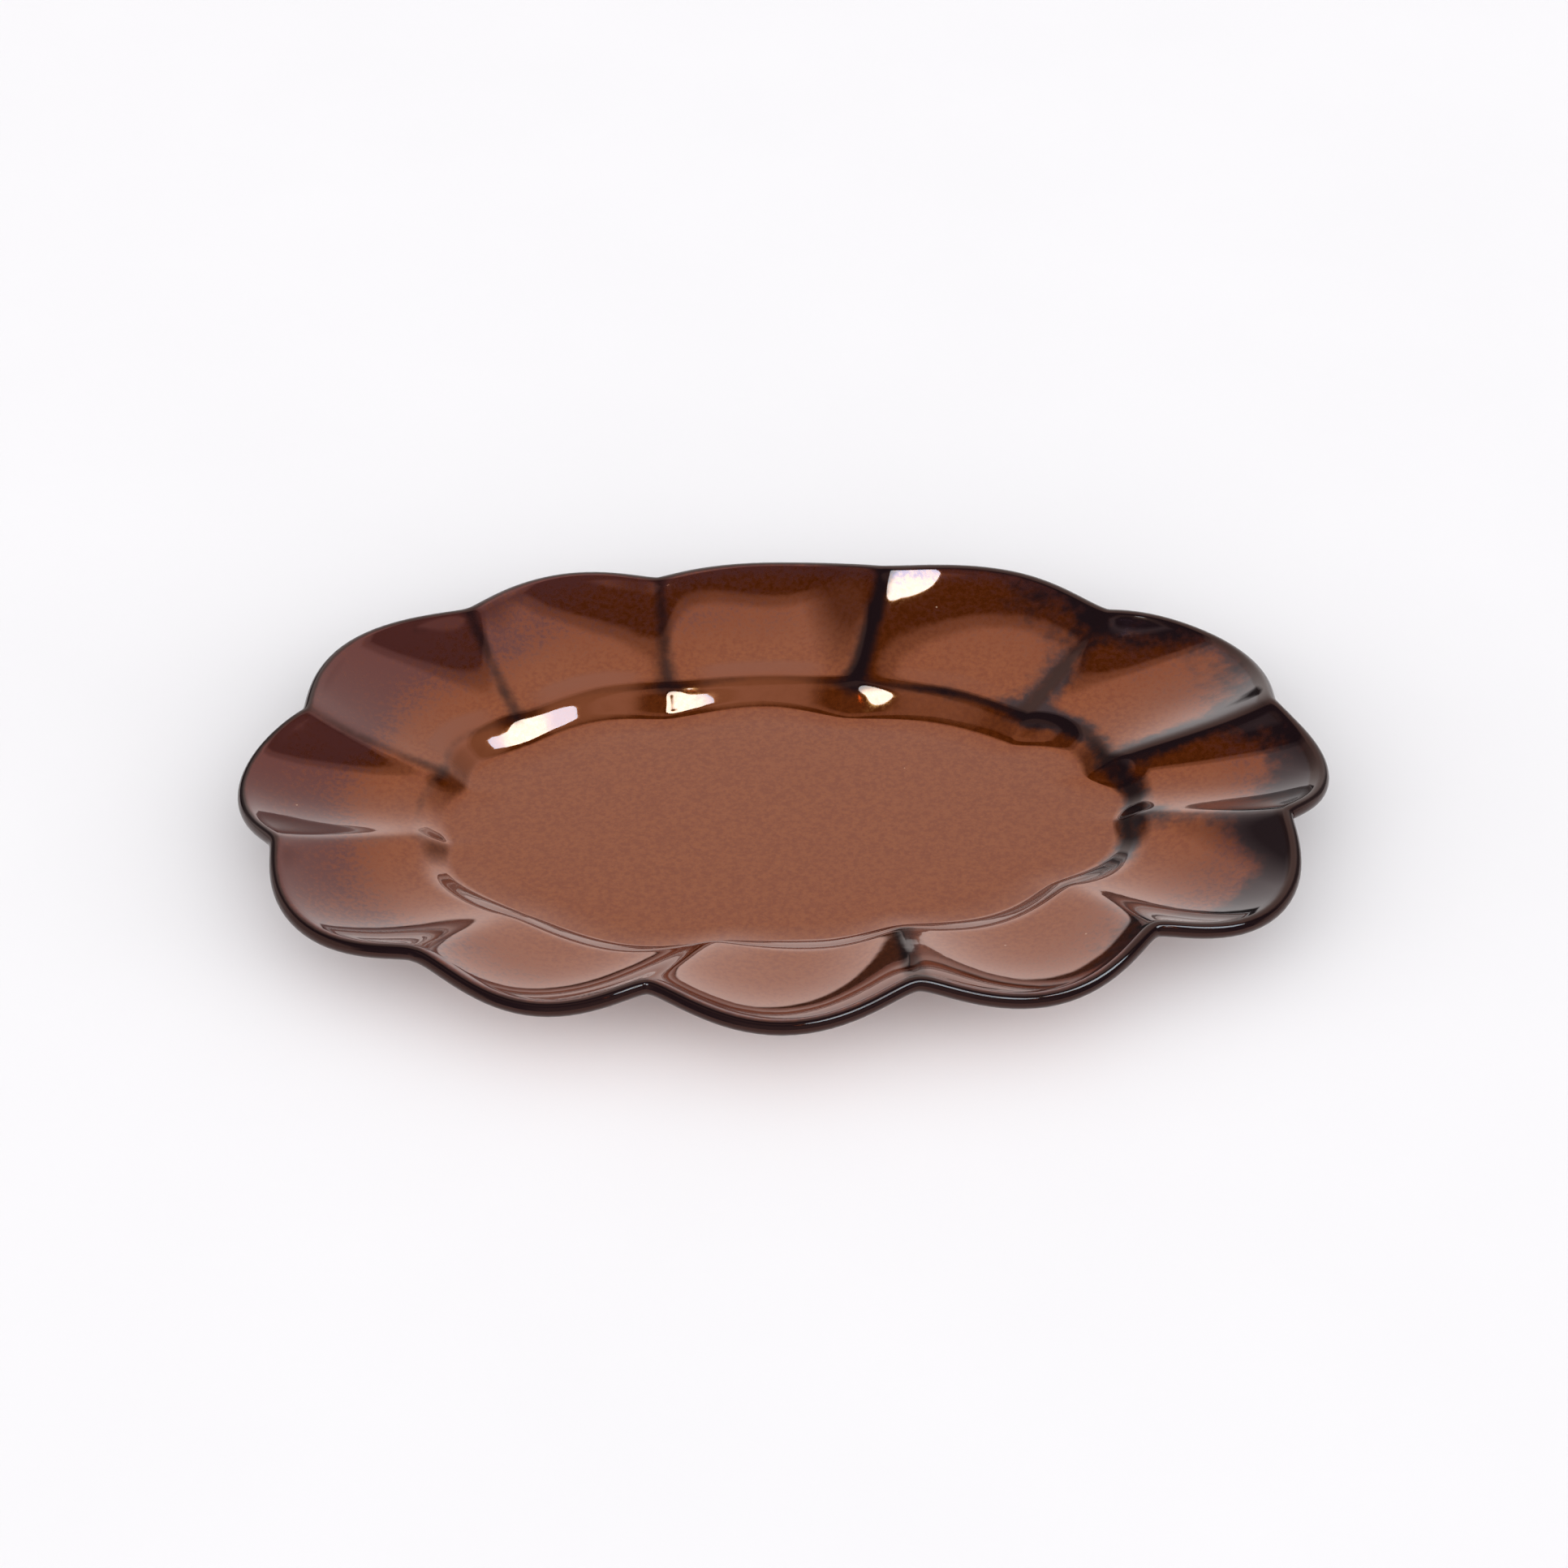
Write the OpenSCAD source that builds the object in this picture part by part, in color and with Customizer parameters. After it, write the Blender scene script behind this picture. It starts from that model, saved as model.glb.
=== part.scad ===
// Soy sauce dish: a low oval dish with a flat well and a border of fluted petals.
// Millimetres, +Z up, +X along the dish. The origin is on the table under the middle.

/* [Outline] */
// Length over the petal tips
dish_l = 129; // [110:0.5:150]
// Width over the petal tips
dish_w = 85.6; // [76:0.5:100]
// How far the rim runs out beside an ellipse, which fills its oval out
fullness = 21.8; // [16:0.2:28]

/* [Well] */
// Length of the flat oval well
well_l = 80; // [70:0.5:88]
// Width of the flat oval well
well_w = 42; // [37:0.5:48]
// How far the foot of each ridge comes into the well
toe_in = 1.1; // [0:0.1:2]
// How blunt the foot of each ridge is
toe_round = 0.45; // [0.3:0.05:0.8]

/* [Petals] */
// Number of petals round the border
petals = 12; // [8:1:14]
// Width of the step up from the well
step_w = 5; // [4:0.1:6]
// Slope of the step, in degrees
step_slope = 31; // [25:1:40]
// Width over which the step bends up out of the well
step_foot_w = 1.2; // [0.8:0.1:2]
// Width over which the step bends over into the petals
step_top_w = 2.2; // [1.5:0.1:2.6]
// Height of a petal tip over the well's floor
tip_h = 6.7; // [5:0.1:9]
// Slope of a petal at its tip, in degrees
tip_slope = 28; // [15:1:32]
// Height of a ridge's end over the petal tips
ridge_h = 1.4; // [0.5:0.1:2]
// Depth of the rim's notch at a ridge
notch_in = 3.3; // [1.5:0.1:4]
// How blunt a ridge's crest and the notch at its end are
crest_round = 0.2; // [0.15:0.05:0.6]
// How much of the hand-pressed wander the petals show
wander = 1; // [0:0.1:1]

/* [Wall] */
// Thickness of the floor with its glaze
floor_t = 3.2; // [2.6:0.1:4.2]
// Thickness of the rounded rim with its glaze
rim_t = 1.9; // [1.6:0.1:2.6]
// Thickness of the glaze
glaze_t = 0.35; // [0.2:0.05:0.5]

/* [Foot] */
// Height of the foot under the clay floor
foot_h = 2.2; // [1.4:0.1:4]
// Distance of the foot inside the well's edge
foot_inset = 4.5; // [4:0.1:6]
// Width of the foot's wall
foot_w = 2.8; // [2:0.1:4]
// Radius of the foot's outline at its two ends
foot_end_r = 9.5; // [8:0.1:11]
// Bare clay left between the foot and the glaze
wiped_w = 1; // [0.5:0.1:1.4]

/* [Hidden] */
$fn = 96;
clay_color = [0.62, 0.50, 0.40];
glaze_color = [0.33, 0.15, 0.07];
// Points across a petal, and how much closer they lie at its ridges
across = 10;
ridge_crowd = 0.5;
// Rows of points over the petals, the rim and the underside
slope_rows = 5;
rim_rows = 4;
under_rows = 6;
// How far apart two points are that give the direction of the surface
probe = 0.01;
// How late along a petal it turns up
turn_power = 4;
// Wander of each ridge in degrees, at the rim and at the well
rim_turn = [-3, -2.5, 0, 2, 0, 1, -4, -4, -3, 1, 5, 6];
well_turn = [7, 0.5, 3, 5, 5, -2, -5, -1, 6, 4, 7, 12];
// How much farther each petal reaches out, and how much deeper each notch is
petal_more = [0, 2.9, 0, 0, 0.7, 1, 0, 1.3, 0.5, 0, 0, 1.2];
notch_more = [-0.9, -1.2, 0.6, 0.5, -0.8, 0.3, -0.6, -1.8, 1, 0.5, 0.7, 0.8];
// How much higher each petal's tip and each ridge stands
tip_more = [-0.3, -1.5, 1, -0.4, 0.3, 0.3, -1.3, 0, 0, 0, 0, 0];
ridge_more = [0.7, -0.9, 0.7, -0.3, -0.8, -0.4, 0, 0, 0, 0.6, 0, 0];
// How far the well's edge lies out from its oval at each petal
well_more = [0.3, 0, -1, 0, 1, 0.9, -0.5, 2.2, 3, 0.3, 0.3, 0];
// How much farther the foot of each ridge comes into the well
toe_more = [0, 0, 0, 0, -0.8, 0, 0, -0.8, 0, 0, 0, 0];

columns = petals * across;
rim_r = rim_t / 2;
well = [well_l, well_w] / 2;
guide = [dish_l, dish_w] / 2 - [fullness, fullness];
border_w = (dish_w - well_w) / 2;
clay_base_z = foot_h;
glaze_base_z = clay_base_z - glaze_t;
floor_z = glaze_base_z + floor_t;

// Foot outline: two end arcs and two side arcs that run into each other
foot_a = well.x - foot_inset;
foot_b = well.y - foot_inset;
end_x = foot_a - foot_end_r;
side_r = (end_x * end_x + foot_b * foot_b - foot_end_r * foot_end_r) / (2 * (foot_b - foot_end_r));
side_y = side_r - foot_b;
end_turn = atan2(side_y, end_x);

function mix(a, b, s) = a + (b - a) * s;
function clip(x) = min(max(x, 0), 1);
function ease(x) = let (c = clip(x)) c * c * (3 - 2 * c);
function unit(v) = v / norm(v);
function pick(list, k) = wander * list[(k + len(list)) % len(list)];

// 0 along the middle of a petal, 1 on the ridge at its side
function crest(u, blunt) =
    let (c = cos(90 * u))
    1 - (sqrt(c * c + blunt * blunt) - blunt) / (sqrt(1 + blunt * blunt) - blunt);

// Petal that q lies in, and the place across it, from -1 to 1
function petal_of(q) = (floor(q) + petals) % petals;
function place_of(q) = let (v = 2 * (q - floor(q)) - 1) mix(v, sin(90 * v), ridge_crowd);

// Angle of ridge k, and of a place between the ridges of petal k
function ridge_angle(k, turn) = (k + 0.5) * 360 / petals + pick(turn, (k + petals) % petals);
function angle_at(k, u, turn) = mix(ridge_angle(k - 1, turn), ridge_angle(k, turn), (1 + u) / 2);

// Value of a ridge's list, mixed across petal k from the ridge on one side to the one on the other
function between(list, k, u) =
    mix(pick(list, (k + petals - 1) % petals), pick(list, k), (1 + u) / 2);

// Value of a petal's list in its middle, half way to the next petal's on the ridge
function shared(list, k, u) =
    let (k2 = u < 0 ? (k + petals - 1) % petals : (k + 1) % petals)
    mix(pick(list, k), (pick(list, k) + pick(list, k2)) / 2, crest(u, toe_round));

// Place on an ellipse with these half axes, moved out by d
function oval(half, t, d) =
    let (out = unit([cos(t) / half.x, sin(t) / half.y]))
    [half.x * cos(t) + d * out.x, half.y * sin(t) + d * out.y];

// Places on the well's edge and on the rim
function well_place(k, u) =
    let (toe = (toe_in + between(toe_more, k, u)) * crest(u, toe_round))
    oval(well, angle_at(k, u, well_turn), shared(well_more, k, u) - toe);
function rim_place(k, u) =
    let (c = crest(u, crest_round))
    let (notch = notch_in + between(notch_more, k, u))
    let (out = fullness - rim_r + pick(petal_more, k) * (1 - c) - notch * c)
    oval(guide, angle_at(k, u, rim_turn), out);

// Slopes of a petal over the step and at its tip, and what the step adds to them
petal_w = border_w - rim_r;
step_mean_w = step_w - (step_foot_w + step_top_w) / 2;
tip_rise = tan(tip_slope);
base_rise = (tip_h - tan(step_slope) * step_mean_w - tip_rise * petal_w / turn_power)
    / (petal_w * (1 - 1 / turn_power) - step_mean_w);
step_rise = tan(step_slope) - base_rise;

// Height that a bend of width w has gained after x, and that the whole step has
function bend(x, w) = let (c = min(max(x, 0), w)) c * c / (2 * w) + max(x - w, 0);
function step_z(x) =
    step_rise * (bend(x, step_foot_w) - bend(x - step_w + step_top_w, step_top_w));

// Height over the well's floor along a petal, and how much more on a ridge
function petal_z(s) =
    step_z(s * petal_w)
    + petal_w * (base_rise * s + (tip_rise - base_rise) * pow(s, turn_power) / turn_power);
function ridge_z(s, k, u) =
    (ridge_h + between(ridge_more, k, u)) * s * (2 - s) * crest(u, crest_round);

// Glazed face: q counts petals round the dish, s runs from the well's edge to the rim
function face(q, s) =
    let (k = petal_of(q), u = place_of(q))
    let (xy = mix(well_place(k, u), rim_place(k, u), s))
    let (z = petal_z(max(s, 0)) + ridge_z(s, k, u) + shared(tip_more, k, u) * s)
    [xy.x, xy.y, floor_z + z];

function along(q, s) = face(q + probe, s) - face(q - probe, s);
function normal(q, s) =
    s <= 0 ? [0, 0, 1] : unit(cross(face(q, s) - face(q, s - probe), along(q, s)));
function wall_t(s) = mix(floor_t, rim_t, ease(s));

// Point of the wall at a depth under the glazed face, and of the rounded rim's edge
function wall_point(q, s, depth) = face(q, s) - depth * normal(q, s);
function rim_point(q, turn, r) =
    let (n = normal(q, 1))
    let (out = unit(cross(along(q, 1), n)))
    face(q, 1) - rim_r * n + r * (cos(turn) * out + sin(turn) * n);

// Point of the foot's outline moved out by d, where the outline faces along angle f
function foot_point(f, d) =
    abs(cos(f)) > cos(end_turn)
        ? [sign(cos(f)) * end_x + (foot_end_r + d) * cos(f), (foot_end_r + d) * sin(f)]
        : [(side_r + d) * cos(f), (side_r + d) * sin(f) - sign(sin(f)) * side_y];

function wiped_point(q, z) =
    let (k = petal_of(q), u = place_of(q))
    let (t = angle_at(k, u, well_turn))
    let (xy = foot_point(atan2(sin(t) / well.y, cos(t) / well.x), wiped_w))
    [xy.x, xy.y, z];

// Rows of points over the top, round the rim and back along the underside
step_stops = [
    0, step_foot_w / 2, step_foot_w,
    step_w - step_top_w, step_w - step_top_w / 2, step_w
];
top_rows = concat(
    step_stops / petal_w,
    [for (i = [1:slope_rows]) mix(step_w / petal_w, 1, i / slope_rows)]
);
function skin_rows(skin) = concat(
    [for (s = top_rows) [for (j = [0:columns - 1]) wall_point(j / across, s, skin)]],
    [for (i = [1:rim_rows - 1]) [for (j = [0:columns - 1])
        rim_point(j / across, 90 - 180 * i / rim_rows, rim_r - skin)]],
    [for (i = [0:under_rows]) let (s = 1 - i / under_rows) [for (j = [0:columns - 1])
        wall_point(j / across, s, wall_t(s) - skin)]]
);
function wiped_row(z) = [for (j = [0:columns - 1]) wiped_point(j / across, z)];

// Solid inside rows of points, closed by a point at its first and its last row
module closed_rows(rows, first, last) {
    count = len(rows);
    points = concat([first], [for (row = rows) each row], [last]);
    function at(i, j) = 1 + i * columns + j % columns;
    sides = [for (i = [0:count - 2]) for (j = [0:columns - 1]) each [
        [at(i, j), at(i, j + 1), at(i + 1, j + 1)],
        [at(i, j), at(i + 1, j + 1), at(i + 1, j)]
    ]];
    start = [for (j = [0:columns - 1]) [0, at(0, j + 1), at(0, j)]];
    end = [for (j = [0:columns - 1]) [len(points) - 1, at(count - 1, j), at(count - 1, j + 1)]];
    polyhedron(points, concat(start, sides, end), convexity = 6);
}

module clay_body() {
    color(clay_color)
    closed_rows(skin_rows(glaze_t), [0, 0, floor_z - glaze_t], [0, 0, clay_base_z]);
}

module glaze_coat() {
    outside = concat(skin_rows(0), [wiped_row(glaze_base_z)]);
    inside = concat(skin_rows(glaze_t), [wiped_row(clay_base_z)]);
    back = [for (i = [len(inside) - 1:-1:0]) inside[i]];
    color(glaze_color)
    closed_rows(concat(outside, back), [0, 0, floor_z], [0, 0, floor_z - glaze_t]);
}

// Oval area inside the foot's outline, drawn in by d
module foot_area(d) {
    for (side = [-1, 1]) translate([side * end_x, 0]) circle(foot_end_r - d);
    intersection() {
        translate([0, -side_y]) circle(side_r - d);
        translate([0, side_y]) circle(side_r - d);
        square([2 * (end_x + (foot_end_r - d) * cos(end_turn)), 2 * foot_b], center = true);
    }
}

module foot_ring() {
    color(clay_color)
    linear_extrude(foot_h)
    difference() {
        foot_area(0);
        foot_area(foot_w);
    }
}

module base_glaze() {
    color(glaze_color)
    translate([0, 0, glaze_base_z])
    linear_extrude(glaze_t)
    foot_area(foot_w + wiped_w);
}

clay_body();
foot_ring();
glaze_coat();
base_glaze();
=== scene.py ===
# %% [markdown]
# # A soy sauce dish, glazed and photographed
# The imported solids give the dish its place and its size. This lesson dresses them: a fine glazed skin
# pressed over the same mould, a trimmed foot, the glaze inside the foot and a small studio.
# Loading the frame comes first.

# %% Load the frame
import math

import bmesh
import bpy
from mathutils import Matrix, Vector, noise


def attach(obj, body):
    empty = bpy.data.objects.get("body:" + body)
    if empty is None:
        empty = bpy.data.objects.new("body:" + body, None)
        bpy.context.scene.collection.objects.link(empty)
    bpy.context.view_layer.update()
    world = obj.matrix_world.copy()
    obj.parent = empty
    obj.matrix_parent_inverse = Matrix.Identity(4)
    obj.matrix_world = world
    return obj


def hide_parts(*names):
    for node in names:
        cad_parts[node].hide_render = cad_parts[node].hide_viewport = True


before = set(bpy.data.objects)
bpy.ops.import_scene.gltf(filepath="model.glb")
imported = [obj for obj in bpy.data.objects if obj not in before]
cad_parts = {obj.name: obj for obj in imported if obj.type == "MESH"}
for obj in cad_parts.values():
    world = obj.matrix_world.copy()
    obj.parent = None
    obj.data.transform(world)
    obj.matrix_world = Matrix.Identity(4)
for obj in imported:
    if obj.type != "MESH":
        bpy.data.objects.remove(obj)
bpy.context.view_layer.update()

MM = 0.001
print("solids:", sorted(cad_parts))


# %% A clean start for every new piece
def nothing_selected():
    """Leaves edit mode and deselects all, so that the next operator acts on the new piece alone."""
    if bpy.context.object and bpy.context.object.mode != "OBJECT":
        bpy.ops.object.mode_set(mode="OBJECT")
    bpy.ops.object.select_all(action="DESELECT")


nothing_selected()

# %% [markdown]
# ## The camera
# The dish is seen from its long side, from about 40 degrees above the table, with a long lens.
# The camera stands at a known distance from a point on the well's floor, so the lens alone
# decides how much of the frame the dish fills.

# %% Camera
WELL_Z = 5.05 * MM
VIEW_UP = math.radians(40)
VIEW_TURN = math.radians(-1.01)
VIEW_DISTANCE = 500 * MM
VIEW_CENTRE = Vector((0, 6.6 * MM, WELL_Z))
FRAME_PX = 1932
FOCAL_PX = 5105
SENSOR = 36
NEAREST = 10 * MM

bpy.ops.object.camera_add()
camera = bpy.context.object
camera.name = "camera"
back = Vector((0, -math.cos(VIEW_UP), math.sin(VIEW_UP))) * VIEW_DISTANCE
level_turn = Vector((math.cos(VIEW_TURN), math.sin(VIEW_TURN)))


def turned(point):
    """The point turned about Z by the small angle at which the dish lies in the picture."""
    x = point.x * level_turn.x - point.y * level_turn.y
    y = point.x * level_turn.y + point.y * level_turn.x
    return Vector((x, y, point.z))


camera.location = turned(VIEW_CENTRE + back)
aim = turned(VIEW_CENTRE) - camera.location
camera.rotation_euler = aim.to_track_quat("-Z", "Y").to_euler()
camera.data.sensor_fit = "HORIZONTAL"
camera.data.sensor_width = SENSOR
camera.data.lens = FOCAL_PX / FRAME_PX * SENSOR
camera.data.clip_start = NEAREST
bpy.context.scene.camera = camera
print("camera at", [round(c, 3) for c in camera.location], "lens", round(camera.data.lens, 1))

# %% [markdown]
# ## The mould
# The dish is pressed over a mould, so its whole surface follows one rule. q counts the petals round
# the dish, and s runs from the edge of the well, at 0, to the rim, at 1. Two ovals hold the plan, and
# a profile along s gives the height: a step, a gentle petal and a tip that turns up.
# The same sizes shape the solids, so the skin lies where they are.

# %% Sizes of the mould
DISH = Vector((129 * MM, 85.6 * MM))
FULLNESS = 21.8 * MM
WELL = Vector((80 * MM, 42 * MM))
TOE_IN = 1.1 * MM
TOE_ROUND = 0.45
PETALS = 12
STEP_W = 5 * MM
STEP_SLOPE = math.radians(31)
STEP_FOOT_W = 1.2 * MM
STEP_TOP_W = 2.2 * MM
TIP_H = 6.7 * MM
TIP_SLOPE = math.radians(28)
RIDGE_H = 1.4 * MM
NOTCH_IN = 3.3 * MM
CREST_ROUND = 0.2
FLOOR_T = 3.2 * MM
RIM_T = 1.9 * MM
GLAZE_T = 0.35 * MM
FOOT_H = 2.2 * MM
FOOT_INSET = 4.5 * MM
FOOT_W = 2.8 * MM
FOOT_END_R = 9.5 * MM
WIPED_W = 1 * MM
TURN_POWER = 4

# The hand's wander: degrees for each ridge, millimetres for each petal, notch and ridge
RIM_TURN = [-3, -2.5, 0, 2, 0, 1, -4, -4, -3, 1, 5, 6]
WELL_TURN = [7, 0.5, 3, 5, 5, -2, -5, -1, 6, 4, 7, 12]
PETAL_MORE = [0, 2.9, 0, 0, 0.7, 1, 0, 1.3, 0.5, 0, 0, 1.2]
TIP_MORE = [-0.3, -1.5, 1, -0.4, 0.3, 0.3, -1.3, 0, 0, 0, 0, 0]
NOTCH_MORE = [-0.9, -1.2, 0.6, 0.5, -0.8, 0.3, -0.6, -1.8, 1, 0.5, 0.7, 0.8]
RIDGE_MORE = [0.7, -0.9, 0.7, -0.3, -0.8, -0.4, 0, 0, 0, 0.6, 0, 0]
WELL_MORE = [0.3, 0, -1, 0, 1, 0.9, -0.5, 2.2, 3, 0.3, 0.3, 0]
TOE_MORE = [0, 0, 0, 0, -0.8, 0, 0, -0.8, 0, 0, 0, 0]

RIM_R = RIM_T / 2
PETAL_W = (DISH.y - WELL.y) / 2 - RIM_R
GUIDE = DISH / 2 - Vector((FULLNESS, FULLNESS))
BASE_Z = FOOT_H - GLAZE_T
FLOOR_Z = BASE_Z + FLOOR_T

STEP_MEAN_W = STEP_W - (STEP_FOOT_W + STEP_TOP_W) / 2
TIP_RISE = math.tan(TIP_SLOPE)
BASE_RISE = (TIP_H - math.tan(STEP_SLOPE) * STEP_MEAN_W - TIP_RISE * PETAL_W / TURN_POWER) / (
    PETAL_W * (1 - 1 / TURN_POWER) - STEP_MEAN_W
)
STEP_RISE = math.tan(STEP_SLOPE) - BASE_RISE
print("a petal is", round(PETAL_W / MM, 2), "mm wide and rises", round(BASE_RISE, 3), "per mm")


# %% Plan of the mould
def mix(a, b, share):
    return a + (b - a) * share


def clamped(x, low, high):
    return min(max(x, low), high)


def eased(x):
    """A soft rise from 0 to 1."""
    x = clamped(x, 0, 1)
    return x * x * (3 - 2 * x)


def crest(u, blunt):
    """0 along the middle of a petal, 1 on the ridge at its side."""
    c = math.cos(math.pi / 2 * u)
    return 1 - (math.hypot(c, blunt) - blunt) / (math.hypot(1, blunt) - blunt)


def petal_and_place(q):
    """The petal that q lies in, and the place across it from -1 to 1."""
    k = math.floor(q)
    return k % PETALS, 2 * (q - k) - 1


def between(values, k, u):
    """A ridge value, mixed across petal k from the ridge on one side to the ridge on the other."""
    return mix(values[(k - 1) % PETALS], values[k % PETALS], (1 + u) / 2)


def angle_at(k, u, turns):
    middle = (k + u / 2) * 360 / PETALS
    return math.radians(middle + between(turns, k, u))


def shared(values, k, u):
    """A petal value, which on each ridge is the mean of the two petals there."""
    other = values[(k + (1 if u >= 0 else -1)) % PETALS]
    return mix(values[k], (values[k] + other) / 2, crest(u, TOE_ROUND))


def oval(half, t, out):
    """A place on an ellipse with these half axes, moved out along its normal."""
    normal = Vector((math.cos(t) / half.x, math.sin(t) / half.y)).normalized()
    return Vector((half.x * math.cos(t), half.y * math.sin(t))) + normal * out


def well_place(k, u):
    toe_in = TOE_IN + between(TOE_MORE, k, u) * MM
    out = shared(WELL_MORE, k, u) * MM - toe_in * crest(u, TOE_ROUND)
    return oval(WELL / 2, angle_at(k, u, WELL_TURN), out)


def rim_place(k, u):
    c = crest(u, CREST_ROUND)
    notch = NOTCH_IN + between(NOTCH_MORE, k, u) * MM
    out = FULLNESS - RIM_R + PETAL_MORE[k] * MM * (1 - c) - notch * c
    return oval(GUIDE, angle_at(k, u, RIM_TURN), out)


# %% Height of the mould
def bent(x, w):
    """Height gained after x by a bend of width w that ends at a slope of 1."""
    c = clamped(x, 0, w)
    return c * c / (2 * w) + max(x - w, 0)


def petal_height(s):
    x = s * PETAL_W
    step = STEP_RISE * (bent(x, STEP_FOOT_W) - bent(x - STEP_W + STEP_TOP_W, STEP_TOP_W))
    turned_up = (TIP_RISE - BASE_RISE) * s**TURN_POWER / TURN_POWER
    return step + PETAL_W * (BASE_RISE * s + turned_up)


def ridge_height(s, k, u):
    return (RIDGE_H + between(RIDGE_MORE, k, u) * MM) * s * (2 - s) * crest(u, CREST_ROUND)


# Height and width of the hand's marks, broad ones and fine ones
WOBBLES = [(0.05 * MM, 10 * MM), (0.012 * MM, 4 * MM)]
WOBBLE_FULL = 0.25


def wobble(plan, s):
    """The slight unevenness that a hand leaves in pressed clay, none of it in the flat well."""
    marks = sum(height * noise.noise((plan / size).to_3d()) for height, size in WOBBLES)
    return eased(s / WOBBLE_FULL) * marks


def face(q, s):
    """The glazed face at petal count q, from the well's edge at s = 0 to the rim at s = 1."""
    k, u = petal_and_place(q)
    plan = mix(well_place(k, u), rim_place(k, u), s)
    height = petal_height(max(s, 0)) + ridge_height(s, k, u) + shared(TIP_MORE, k, u) * MM * s
    return Vector((plan.x, plan.y, FLOOR_Z + height + wobble(plan, s)))


PROBE = 0.01


def along(q, s):
    return face(q + PROBE, s) - face(q - PROBE, s)


def facing(q, s):
    """The direction that the face looks in."""
    if s <= 0:
        return Vector((0, 0, 1))
    return (face(q, s) - face(q, s - PROBE)).cross(along(q, s)).normalized()


tip = face(0.5, 1)
print("right-hand tip in mm:", [round(c / MM, 2) for c in tip])

# %% [markdown]
# ## The underside and the foot's outline
# Under the dish the wall is drawn in along the face's own direction, thick at the floor and thin at the
# rim. The foot's outline is four arcs that run into each other: two tight ends and two long sides.


# %% Underside and foot outline
def wall(q, s):
    """The underside below the face at q and s."""
    return face(q, s) - facing(q, s) * mix(FLOOR_T, RIM_T, eased(s))


def rim_edge(q, turn):
    """The rounded rim, from the face at a turn of 90 degrees down to the underside at -90."""
    up = facing(q, 1)
    out = along(q, 1).cross(up).normalized()
    return face(q, 1) - up * RIM_R + (out * math.cos(turn) + up * math.sin(turn)) * RIM_R


FOOT = WELL / 2 - Vector((FOOT_INSET, FOOT_INSET))
END_X = FOOT.x - FOOT_END_R
SIDE_R = (END_X**2 + FOOT.y**2 - FOOT_END_R**2) / (2 * (FOOT.y - FOOT_END_R))
SIDE_Y = SIDE_R - FOOT.y
END_TURN = math.atan2(SIDE_Y, END_X)


def foot_outline(f, out):
    """The place on the foot's outline that faces along angle f, moved out."""
    c, s = math.cos(f), math.sin(f)
    if abs(c) > math.cos(END_TURN):
        return Vector((math.copysign(END_X, c) + (FOOT_END_R + out) * c, (FOOT_END_R + out) * s))
    return Vector(((SIDE_R + out) * c, (SIDE_R + out) * s - math.copysign(SIDE_Y, s)))


def wiped_edge(q):
    """The line beside the foot where the glaze was wiped off."""
    k, u = petal_and_place(q)
    t = angle_at(k, u, WELL_TURN)
    plan = foot_outline(math.atan2(math.sin(t) / WELL.y, math.cos(t) / WELL.x), WIPED_W)
    return Vector((plan.x, plan.y, BASE_Z))


print("foot", round(2 * FOOT.x / MM, 1), "by", round(2 * FOOT.y / MM, 1), "mm")

# %% [markdown]
# ## The glazed skin
# The glaze is a skin of glass that covers the dish from the well over the rim to the wiped line beside
# the foot. It could be a lathe form with sculpted petals, but the petals wander, so it is grown as a
# potter pulls a wall: a disc for the middle of the floor, and then ring after ring extruded from its
# edge and pressed to the mould. The disc's vertices get a column number, which every extrusion copies.

# %% Rings of the skin
ACROSS = 32
COLUMNS = PETALS * ACROSS
FLOOR_RINGS = 8
STEP_RINGS = 18
PETAL_RINGS = 26
RIM_RINGS = 12
UNDER_RINGS = 20


def floor_point(q, share):
    edge = face(q, 0)
    return Vector((edge.x * share, edge.y * share, FLOOR_Z))


step_stops = [i / STEP_RINGS * STEP_W / PETAL_W for i in range(STEP_RINGS)]
petal_stops = [mix(STEP_W / PETAL_W, 1, i / PETAL_RINGS) for i in range(PETAL_RINGS + 1)]
rim_turns = [math.pi / 2 - math.pi * i / RIM_RINGS for i in range(1, RIM_RINGS)]
under_stops = [1 - i / UNDER_RINGS for i in range(UNDER_RINGS + 1)]

# Each ring is a place rule and the share s that its finish follows, which passes 1 round the rim
rings = [(lambda q, r=i / FLOOR_RINGS: floor_point(q, r), 0) for i in range(2, FLOOR_RINGS)]
rings += [(lambda q, s=s: face(q, s), s) for s in step_stops + petal_stops]
rings += [(lambda q, t=t: rim_edge(q, t), 1 + i / RIM_RINGS) for i, t in enumerate(rim_turns, 1)]
rings += [(lambda q, s=s: wall(q, s), 3 - s) for s in under_stops]
rings += [(wiped_edge, 3)]
print(len(rings), "rings of", COLUMNS, "points")
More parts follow.
